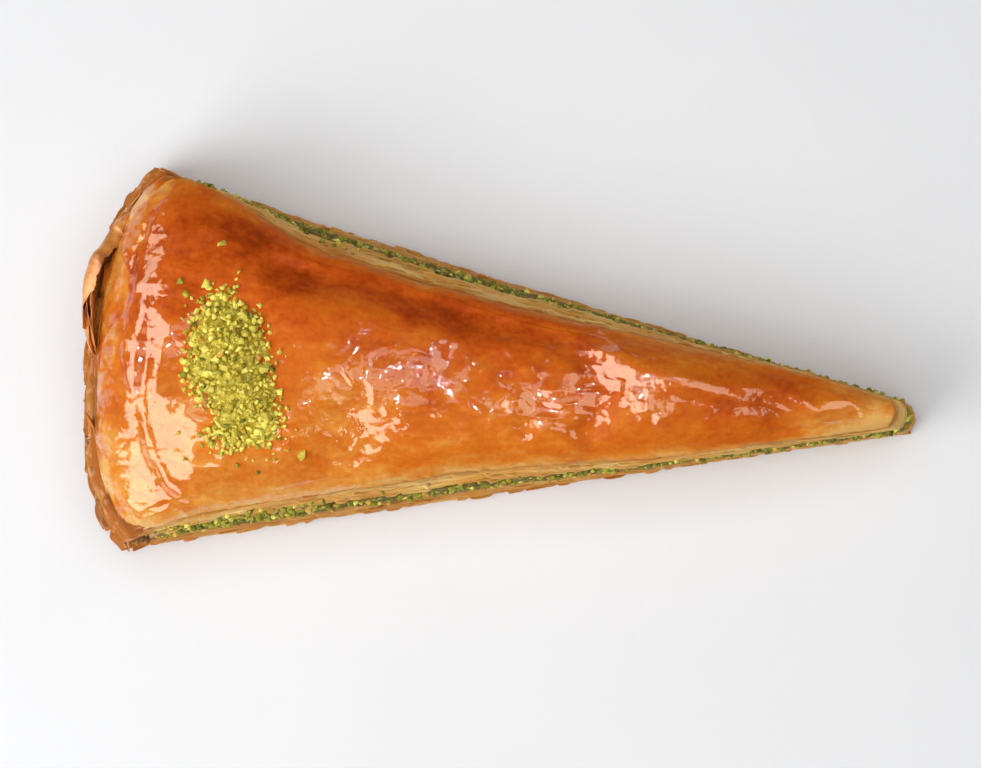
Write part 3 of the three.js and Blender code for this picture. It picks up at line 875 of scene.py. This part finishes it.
def torn_sheet(way, low, high, aside, over, seed, thickness=0.3, rows=22):
    """(points, faces, tone) of a torn sheet of filo on edge along its way: crumpled, aside from
    the way by aside(t, h), bent back in by over(t) at its top and thin at its torn border."""
    ahead = np.gradient(way, axis=0)
    ahead /= np.hypot(*ahead.T)[:, None]
    out = np.stack([-ahead[:, 1], ahead[:, 0]], axis=1)
    t = np.linspace(0, 1, len(way))[:, None]
    h = np.linspace(0, 1, rows + 1)[None, :]
    torn = 0.5 * noise(t * 15, 0, seed) + 0.25 * noise(t * 47, 0, seed + 5)
    bent = np.clip(over(t) / 2.5, 0, 1)
    ripple = 0.2 * noise(t * 24, h * 5, seed + 6) * smooth(h, 0.5, 0.8) * bent
    rise = mix(h, np.sin(QUARTER_TURN * h), bent)
    z = mix(low(t) + 0.4 * torn, high(t) + torn * (1 - bent), rise) + ripple
    crumple = 0.25 * noise(t * 7, h * 1.6, seed + 1) + 0.16 * noise(t * 19, h * 6, seed + 2)
    off = aside(t, h) + crumple - (over(t) + torn) * np.clip((h - 0.55) / 0.45, 0, 1) ** 2 * bent
    sides = []
    for half in (-thickness / 2, thickness / 2):
        thin = half * (1 - 0.5 * smooth(h, 0.6, 1)) * (1 + 0.4 * noise(t * 30, h * 6, seed + 3))
        d, y = (way[:, c : c + 1] + out[:, c : c + 1] * (off + thin) for c in (0, 1))
        sides.append(in_frame(d, y, z).reshape(-1, 3))
    tone = 0.42 + 0.3 * smooth(h, 0.9, 1) + 0.25 * noise(t * 9, h * 3, seed + 4)
    return np.concatenate(sides), slab_faces(z.shape), np.tile(tone.ravel(), 2)


def sheets_together(name, sheets, finish):
    """One piece from several torn sheets."""
    points, faces, tones, first = [], [], [], 0
    for sheet_points, sheet_faces, tone in sheets:
        faces += [[first + i for i in corners] for corners in sheet_faces]
        points.append(sheet_points)
        tones.append(tone)
        first += len(sheet_points)
    return mesh_piece(name, np.concatenate(points), faces, finish, {"tone": np.concatenate(tones)})


def loose_sheets(finish):
    """The browned sheets that bow off the outer end, with a dark gap behind them: the outermost
    is wide and folds in over the others along its upper half, and the rest show as torn edges."""
    steps = 200
    course = smooth_course(LOOSE_COURSE, steps)
    spans = ((0, 150), (14, 201), (30, 185), (8, 196), (40, 201), (20, 170))
    shorter_by = (0.0, 1.1, 0.5, 1.6, 0.8, 1.9)
    sheets = []
    for number, ((start, stop), shorter) in enumerate(zip(spans, shorter_by)):
        offset = mix(LOOSE_SHEETS / 2 - 0.15, 0.15 - LOOSE_SHEETS / 2, number / 5)
        first, share = start / steps, (stop - start) / steps

        def low(t):
            return 19.5 + 1.2 * np.sin(7 * (first + share * t))

        def high(t):
            at = first + share * t
            return 21 - shorter + 8.5 * np.sin(math.pi * (0.08 + 0.86 * at)) + 0.6 * np.sin(19 * at)

        def aside(t, h):
            return offset + 0.6 + LOOSE_FLARE * np.sin(math.pi * (first + share * t)) * h**0.8

        def over(t):
            folded = smooth(t, 0.0, 0.15) * (1 - 0.9 * smooth(t, 0.7, 1.0))
            return (3.0 if number == 0 else 1.3) * folded

        sheets.append(torn_sheet(course[start:stop], low, high, aside, over, 91 + 7 * number))
    return sheets_together("loose_sheets", sheets, finish)


# ------------ small shapes that are strewn


def chip_shapes(label, size, seed, count=10, corners=14):
    """A collection of nut crumbs about 1 mm across: each the hull of a few random points."""
    draw = np.random.default_rng(seed)
    shapes = bpy.data.collections.new(label)
    for number in range(count):
        body = bmesh.new()
        for _ in range(corners):
            way = draw.normal(size=3)
            way *= draw.uniform(0.66, 1.0) * 0.5 / np.linalg.norm(way)
            body.verts.new(Vector(way * size) * MM)
        hull = bmesh.ops.convex_hull(body, input=body.verts)
        inside = [g for g in hull["geom_interior"] if g.is_valid]
        bmesh.ops.delete(body, geom=inside, context="VERTS")
        mesh = bpy.data.meshes.new(f"{label}_{number}")
        for face in body.faces:
            face.smooth = number % 2 == 0
        body.to_mesh(mesh)
        body.free()
        shapes.objects.link(bpy.data.objects.new(mesh.name, mesh))
    return shapes


def flake_shapes(label, seed, count=10, sides=11, rings=3):
    """A collection of thin, curled filo flakes about 1 mm across, torn to uneven corners."""
    draw = np.random.default_rng(seed)
    shapes = bpy.data.collections.new(label)
    for number in range(count):
        angle = np.sort(draw.uniform(0, 2 * math.pi, size=sides))
        torn, length = draw.uniform(size=sides) < 0.25, draw.uniform(0.85, 1.1, size=sides)
        radius = 0.5 * np.where(torn, 0.65, length)
        cup, twist = draw.uniform(0.1, 0.7), draw.uniform(-0.6, 0.6)
        share = np.linspace(1 / rings, 1, rings)[:, None]
        x = (share * radius * np.cos(angle) * 1.3).ravel()
        y = (share * radius * np.sin(angle) * 0.7).ravel()
        z = cup * x * x + twist * x * y
        face = np.concatenate([[[0, 0, 0]], np.stack([x, y, z], axis=1)])
        points = np.concatenate([face + [0, 0, 0.03], face - [0, 0, 0.03]])
        rim = 1 + sides * (rings - 1) + np.arange(sides)
        top = [[0, 1 + i, 1 + (i + 1) % sides] for i in range(sides)] + ring_faces(rings, sides, 1)
        under = [[len(face) + i for i in corners[::-1]] for corners in top]
        faces = top + under + band_faces(rim, len(face) + rim)
        mesh = plain_mesh(f"{label}_{number}", points * MM, faces)
        shapes.objects.link(bpy.data.objects.new(mesh.name, mesh))
    return shapes


def strewing_tree():
    """Strews shapes from a collection over a surface, as thickly as its 'cover' value says. Each
    is tumbled, or kept nearly flat on the surface, and keeps a random 'tone'."""
    tree = bpy.data.node_groups.new("strewn over a surface", "GeometryNodeTree")
    sockets = {"Surface": "Geometry", "Shapes": "Collection", "Finish": "Material", "Seed": "Int"}
    sizes = ("Spacing", "Crowding", "Smallest", "Largest", "Lift", "Tumble")
    for label, kind in (sockets | dict.fromkeys(sizes, "Float")).items():
        tree.interface.new_socket(name=label, in_out="INPUT", socket_type="NodeSocket" + kind)
    tree.interface.new_socket(name="Strewn", in_out="OUTPUT", socket_type="NodeSocketGeometry")
    given = add(tree, "NodeGroupInput").node.outputs
    seed, tumble, half_turn = given["Seed"], given["Tumble"], 2 * QUARTER_TURN

    cover = add(tree, "GeometryNodeInputNamedAttribute", {"Name": "cover"}, data_type="FLOAT")
    points = add(tree, "GeometryNodeDistributePointsOnFaces", {
        "Mesh": given["Surface"], "Distance Min": given["Spacing"], "Seed": seed,
        "Density Max": given["Crowding"], "Density Factor": cover,
    }, distribute_method="POISSON").node.outputs
    shapes = add(tree, "GeometryNodeCollectionInfo", {
        "Collection": given["Shapes"], "Separate Children": True, "Reset Children": True,
    })

    any_turn = {0: (-1, -1, -half_turn), 1: (1, 1, half_turn), "Seed": seed}
    turn = add(tree, "FunctionNodeRandomValue", any_turn, data_type="FLOAT_VECTOR")
    loosened = add(tree, "ShaderNodeCombineXYZ", {"X": tumble, "Y": tumble, "Z": 1.0})
    turn = add(tree, "ShaderNodeVectorMath", {0: turn, 1: loosened}, operation="MULTIPLY")
    turn = add(tree, "FunctionNodeEulerToRotation", {0: turn})
    tumbled = {"Rotation": points["Rotation"], "Rotate By": turn}
    rotation = add(tree, "FunctionNodeRotateRotation", tumbled, rotation_space="LOCAL")

    lucky = {2: 0.0, 3: 1.0, "Seed": seed}
    luck = add(tree, "FunctionNodeRandomValue", lucky, out=1, data_type="FLOAT")
    small = add(tree, "ShaderNodeMath", {0: luck, 1: 1.8}, operation="POWER")
    sizes = {"Value": small, "To Min": given["Smallest"], "To Max": given["Largest"]}
    placed = add(tree, "GeometryNodeInstanceOnPoints", {
        "Points": points["Points"], "Instance": shapes, "Pick Instance": True,
        "Rotation": rotation, "Scale": add(tree, "ShaderNodeMapRange", sizes),
    })
    lift = {0: points["Normal"], "Scale": given["Lift"]}
    outwards = add(tree, "ShaderNodeVectorMath", lift, operation="SCALE")
    moved = {0: placed, "Translation": outwards, "Local Space": False}
    lifted = add(tree, "GeometryNodeTranslateInstances", moved)

    tone = add(tree, "FunctionNodeRandomValue", lucky | {"Seed": 5}, out=1, data_type="FLOAT")
    tone = {"Geometry": lifted, "Name": "tone", "Value": tone}
    toned = add(tree, "GeometryNodeStoreNamedAttribute", tone, data_type="FLOAT", domain="INSTANCE")
    real = add(tree, "GeometryNodeRealizeInstances", {0: toned})
    finished = add(tree, "GeometryNodeSetMaterial", {0: real, "Material": given["Finish"]})
    add(tree, "NodeGroupOutput", {"Strewn": finished})
    return tree


def strewn(name, surface, shapes, spacing, sizes, lift, finish, seed, tumble=math.pi):
    """A plain mesh of the shapes strewn over a surface; sizes run from smallest to largest."""
    host = bpy.data.objects.new(name, surface)
    scene.collection.objects.link(host)
    layer = host.modifiers.new("strewn", "NODES")
    layer.node_group = strewing
    given = {
        "Shapes": shapes, "Spacing": spacing * MM, "Crowding": 2.5 / (spacing * MM) ** 2,
        "Smallest": sizes[0], "Largest": sizes[1], "Lift": lift * MM,
        "Tumble": tumble, "Seed": seed, "Finish": finish,
    }
    for item in strewing.interface.items_tree:
        if item.in_out == "INPUT" and item.name in given:
            layer[item.identifier] = given[item.name]
    evaluated = host.evaluated_get(bpy.context.evaluated_depsgraph_get())
    made = bpy.data.meshes.new_from_object(evaluated)
    host.modifiers.clear()
    host.data = made
    made.name = name
    return host


def strewing_surface(points, faces, cover):
    """A mesh for shapes to be strewn over; cover says how thickly, point by point."""
    return plain_mesh("strewing_surface", points, faces, {"cover": np.clip(cover, 0, 1)})


# ------------ the pinch of ground pistachio


def pinch_grid(along_mm=17.0, across_mm=27, steps=(150, 220)):
    """(from tip, side, v) over the neighbourhood of the pinch."""
    d = HEAP["from_tip"] + np.linspace(-along_mm, along_mm, steps[0])[:, None]
    y = HEAP["side"] + np.linspace(-across_mm, across_mm, steps[1])[None, :]
    d, y = np.broadcast_arrays(d, y)
    return d, y, y / (half_width(d) - side_lean(d, np.sign(y)))


def pinch_height(d, y, v, ragged):
    """Height of the pinch's own surface, and how far out on it a place is."""
    lobed = 0.9 * noise(d / 8, y / 8, 107) + noise(d / 4, y / 4, 104)
    lobed = lobed + 0.5 * noise(d / 2, y / 2, 105)
    thin_side = 0.3 * near(d, y, 143, -13, 5, 7) - 0.2 * near(d, y, 126, -16, 5, 7)
    reach = heap_reach(d, y) + ragged * lobed + thin_side
    return skin_height(d, y, v) + HEAP["rise"] * (1 - smooth(reach, 0.1, 1.0)), reach


def pinch_core(finish):
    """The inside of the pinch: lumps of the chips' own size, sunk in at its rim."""
    d, y, v = pinch_grid(15.0)
    height, reach = pinch_height(d, y, v, 0.1)
    lumps = 0.5 * rough(d, y, 1.5, 2, 102) * smooth(1 - reach, 0, 0.2)
    top = height + lumps - 0.3 - 1.2 * smooth(reach, 0.82, 0.98)
    under = np.minimum(skin_height(d, y, v) - 1.8, top - 0.2)
    points = np.stack([in_frame(d, y, z) for z in (top, under)])
    # Toned darker than the chips on it: painted shade in the gaps between them.
    tone = np.clip(0.15 + 0.5 * noise(d / 1.3, y / 1.3, 103), 0, 1)
    facts = {"tone": np.tile(tone.ravel(), 2)}
    return mesh_piece("pinch_core", points, slab_faces(d.shape), finish, facts)


def on_pinch(raised, cover):
    """A surface over the pinch for one layer of its chips."""
    d, y, v = pinch_grid()
    height, reach = pinch_height(d, y, v, 0.14)
    points = in_frame(d, y, height + raised * (1 - smooth(reach, 0.3, 0.9)))
    faces = grid_faces(np.arange(d.size).reshape(d.shape))
    return strewing_surface(points, faces, cover(d, y, reach) * (np.abs(v) < 0.94))


def piled(d, y, reach):
    return 1 - smooth(reach, 0.84, 1.0)


def spilling(d, y, reach):
    return 0.8 * (1 - smooth(reach, 0.95, 1.2))


def rolled_off(places):
    """A crumb or two at each place where some rolled off the pinch."""
    return lambda d, y, reach: sum(bell(np.hypot(d - at[0], y - at[1]), 0.6) for at in places)


def pinch_chips(chips, yellow, green, tan):
    """The pinch's chips: for each layer its name, how far it is raised, where it lies, and then
    strewn's spacing, sizes, lift, finish and seed."""
    strays, specks = rolled_off(STRAYS), rolled_off(GREEN_STRAYS)
    layers = (
        ("pinch_bottom", 0.0, piled, 1.0, (0.9, 2.0), 0.05, yellow, 11),
        ("pinch_middle", 0.7, piled, 1.45, (1.0, 2.5), 0.15, yellow, 12),
        ("pinch_top", 1.5, piled, 2.3, (1.0, 2.7), 0.2, yellow, 16),
        ("pinch_green", 0.6, piled, 1.9, (0.8, 2.0), 0.3, green, 13),
        ("pinch_skins", 0.8, piled, 5.0, (0.9, 2.4), 0.4, tan, 14),
        ("pinch_rim", 0.0, spilling, 1.3, (0.7, 2.0), 0.15, yellow, 15),
        ("pinch_strays", 0.0, strays, 1.5, (1.4, 3.0), 0.3, yellow, 17),
        ("pinch_specks", 0.0, specks, 1.2, (1.2, 2.4), 0.2, green, 18),
    )
    return [strewn(name, on_pinch(up, where), chips, *how) for name, up, where, *how in layers]


# ------------ chips and flakes on the walls


def on_nut_layer(sunk, cover):
    """The face of the nut layer, for the chips that are packed into it."""
    rings, crust = nut_wall(12, lambda s, height, t: -sunk)
    faces = ring_faces(len(rings), len(rings[0]))
    return strewing_surface(np.concatenate(rings), faces, cover(crust))


def on_walls(low, high, rows, cover):
    """The walls between two shares of their height, for what clings to them."""
    u, v, s = wall_stations()
    rings, thick = [], []
    for t in np.linspace(low, high, rows):
        d, y = plan(u, v, t**LEAN_CURVE)
        rings.append(in_frame(d, y, t * side_height(d)))
        thick.append(cover(d, t, s, crust_share(u)))
    faces = ring_faces(rows, len(s))
    return strewing_surface(np.concatenate(rings), faces, np.concatenate(thick))


def spilt(d, t, s, crust):
    """Crumbs caught on the cuts near the outer end, thinning upwards."""
    by_end = smooth(d, 112, 124) * (1 - smooth(d, 150, 160))
    clumps = 0.25 + 0.75 * smooth(noise(s / 5, t * 6, 111), -0.1, 0.5)
    along = 0.8 * by_end + 0.03 * smooth(d, 20, 60)
    return along * (1 - smooth(t, 0.72, 0.93)) * clumps * (1 - crust)


def at_outer_end(d, t, s, crust):
    """Flakes on the outer end, closest under the skin."""
    return crust * (0.3 + 0.5 * smooth(t, 0.45, 0.9))


def wall_chips(chips, yellow, green, tan, brown):
    """Chips packed in the nut layer's face, and crumbs caught on the cuts: for each its name,
    what it lies on, and then strewn's spacing, sizes, lift, finish and seed."""

    def on_cut(sunk):
        return on_nut_layer(sunk, lambda crust: 1 - crust)

    def on_crust(sunk):
        return on_nut_layer(sunk, lambda crust: crust)

    def caught():
        return on_walls(0.6, 0.95, 24, spilt)

    layers = (
        ("layer_green", on_cut(0.35), 1.25, (0.9, 2.5), 0.0, green, 21),
        ("layer_pale", on_cut(0.3), 2.4, (0.9, 2.2), 0.0, yellow, 22),
        ("layer_skins", on_cut(0.25), 3.4, (0.9, 2.2), 0.05, tan, 23),
        ("layer_toasted", on_crust(0.1), 1.3, (0.9, 2.4), 0.0, brown, 24),
        ("wall_crumbs", caught(), 1.4, (0.7, 2.2), 0.15, green, 31),
        ("wall_crumbs_pale", caught(), 2.2, (0.7, 2.0), 0.2, yellow, 32),
    )
    return [strewn(name, surface, chips, *how) for name, surface, *how in layers]


# ------------ putting the slice together

scene = bpy.context.scene
skin_finish = glazed_filo()
cut_finish = soaked_filo()
crisp_finish = crisp_filo()
yellow_nut = ground_nut("dry ground pistachio, yellow-green", "#fff372", "#b49c20")
green_nut = ground_nut("ground pistachio, green", "#b9b53c", "#666614")
tan_nut = ground_nut("ground pistachio with its skin", "#efbf55", "#b37c30")
brown_nut = ground_nut("ground pistachio browned at the outer end", "#b5823a", "#6a4016")

top = puffed_top(skin_finish)
upper = upper_sheets(cut_finish)
lower = lower_sheets(cut_finish)
nuts = nut_layer(damp_nut_layer())
loose = loose_sheets(crisp_finish)

strewing = strewing_tree()
chips = chip_shapes("nut_chip", size=np.array([1.25, 1.0, 0.85]), seed=7)
flakes = flake_shapes("torn_flake", seed=8)

core = pinch_core(yellow_nut)
pinch = pinch_chips(chips, yellow_nut, green_nut, tan_nut)
clinging = wall_chips(chips, yellow_nut, green_nut, tan_nut, brown_nut)
end_wall = on_walls(0.08, 0.95, 40, at_outer_end)
how = (3.4, (2.5, 5.0), 0.0, crisp_finish, 41)
end_flakes = strewn("crust_flakes", end_wall, flakes, *how, tumble=0.12)

for shapes in (chips, flakes):
    for shape in list(shapes.objects):
        bpy.data.objects.remove(shape)
    bpy.data.collections.remove(shapes)

for piece, node, slot in (
    (top, "filo_top", "glazed_filo"),
    (upper, "filo_top", "soaked_filo"),
    (loose, "filo_top", "glazed_filo"),
    (end_flakes, "filo_top", "glazed_filo"),
    (core, "filo_top", "ground_pistachio"),
    *((p, "filo_top", "ground_pistachio") for p in pinch),
    (lower, "filo_base", "soaked_filo"),
    (nuts, "pistachio_filling", "ground_pistachio"),
    *((p, "pistachio_filling", "ground_pistachio") for p in clinging),
):
    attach(piece, "root")
    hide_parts(node)

# ------------ floor, light and camera


def floor():
    """A matt white laminate table top."""
    finish, tree = blank_finish("matt white laminate")
    cloud = grain(tree, 60, 2, spread=(0.3, 0.7))
    colour = layered(tree, "#ebecee", (cloud, 1.0, "#eeeff1"))
    finish_with(tree, {"Base Color": colour, "Roughness": 0.8, "Specular IOR Level": 0.1})
    half = 0.9
    corners = [(-half, -half, 0), (half, -half, 0), (half, half, 0), (-half, half, 0)]
    mesh_piece("floor", corners, [[0, 1, 2, 3]], finish)


def hang(name, data, at, turn):
    """Puts a light or the camera in the scene, at a place and turned."""
    holder = bpy.data.objects.new(name, data)
    holder.location = at
    holder.rotation_mode = "QUATERNION"
    holder.rotation_quaternion = turn
    scene.collection.objects.link(holder)
    return holder


def soft_box(name, way, distance, width, height, radiance, tint="#ffffff", shows=True, lights=True):
    """A soft box facing the slice from a direction; radiance is its brightness to the eye. It
    may show in the glaze without lighting the slice, as a dim card does, or the other way."""
    light = bpy.data.lights.new(name, "AREA")
    light.shape = "RECTANGLE"
    light.size, light.size_y = width, height
    light.energy = radiance * math.pi * width * height
    light.color = linear(tint)[:3]
    way, middle = Vector(way).normalized(), Vector((0, 0, 0.02))
    holder = hang(name, light, way * distance + middle, way.to_track_quat("Z", "Y"))
    holder.visible_glossy, holder.visible_diffuse = shows, lights


def camera():
    """Straight above, a few degrees towards the tip and the -Y side, turned a little so that
    the tip points right and slightly down."""
    lens, sensor, frame_width = 200, 36, 0.196
    lean_x, lean_y, roll = math.radians(4), math.radians(-3), math.radians(4.4)
    look = Vector((math.tan(lean_x), math.tan(lean_y), 1)).normalized()
    right = Vector((math.cos(roll), math.sin(roll), 0))
    up = look.cross(right).normalized()
    right = up.cross(look).normalized()
    eye = bpy.data.cameras.new("camera")
    eye.lens, eye.sensor_width = lens, sensor
    middle = Vector((-0.0008, 0.0, 0.018))
    at = middle + look * (frame_width * lens / sensor)
    turn = Matrix((right, up, look)).transposed().to_quaternion()
    scene.camera = hang("camera", eye, at, turn)


def room_light(strength, backdrop):
    """A white room that lights the slice dimly and shows behind it as a bright backdrop."""
    world = bpy.data.worlds.new("white room")
    world.use_nodes = True
    tree = world.node_tree
    tree.nodes.clear()
    seen = add(tree, "ShaderNodeLightPath", out="Is Camera Ray")
    either = {"Value": seen, "To Min": strength, "To Max": backdrop}
    bright = add(tree, "ShaderNodeMapRange", either)
    background = add(tree, "ShaderNodeBackground", {"Color": "#fbfbfc", "Strength": bright})
    add(tree, "ShaderNodeOutputWorld", {"Surface": background})
    scene.world = world


floor()
soft_box("large soft box, overhead", (0.0, 0.0, 1.0), 3.0, 3.2, 3.2, 2.3, shows=False)
soft_box("soft box, outer end", (-0.62, -0.42, 0.7), 0.7, 0.5, 0.4, 4.5, shows=False)
soft_box("card, outer end", (-0.61, -0.37, 0.7), 0.6, 0.85, 0.6, 6.4, tint="#fff1da", lights=False)
soft_box("card, far corner", (-0.72, 0.4, 0.56), 0.7, 0.3, 0.25, 4.5, tint="#fff3d6", lights=False)
soft_box("card, overhead", (0.04, -0.08, 1.0), 0.9, 0.44, 0.34, 1.7, tint="#fff0e0", lights=False)
soft_box("card, tip side", (0.5, 0.02, 0.86), 0.9, 1.0, 0.5, 3.0, tint="#fff0d8", lights=False)
soft_box("small lamp, overhead", (-0.1, -0.16, 1.0), 0.9, 0.018, 0.018, 900.0, lights=False)
soft_box("small lamp, far side", (0.22, 0.3, 1.0), 0.9, 0.018, 0.018, 900.0, lights=False)
room_light(0.06, 0.72)
camera()
scene.view_settings.view_transform = "Standard"
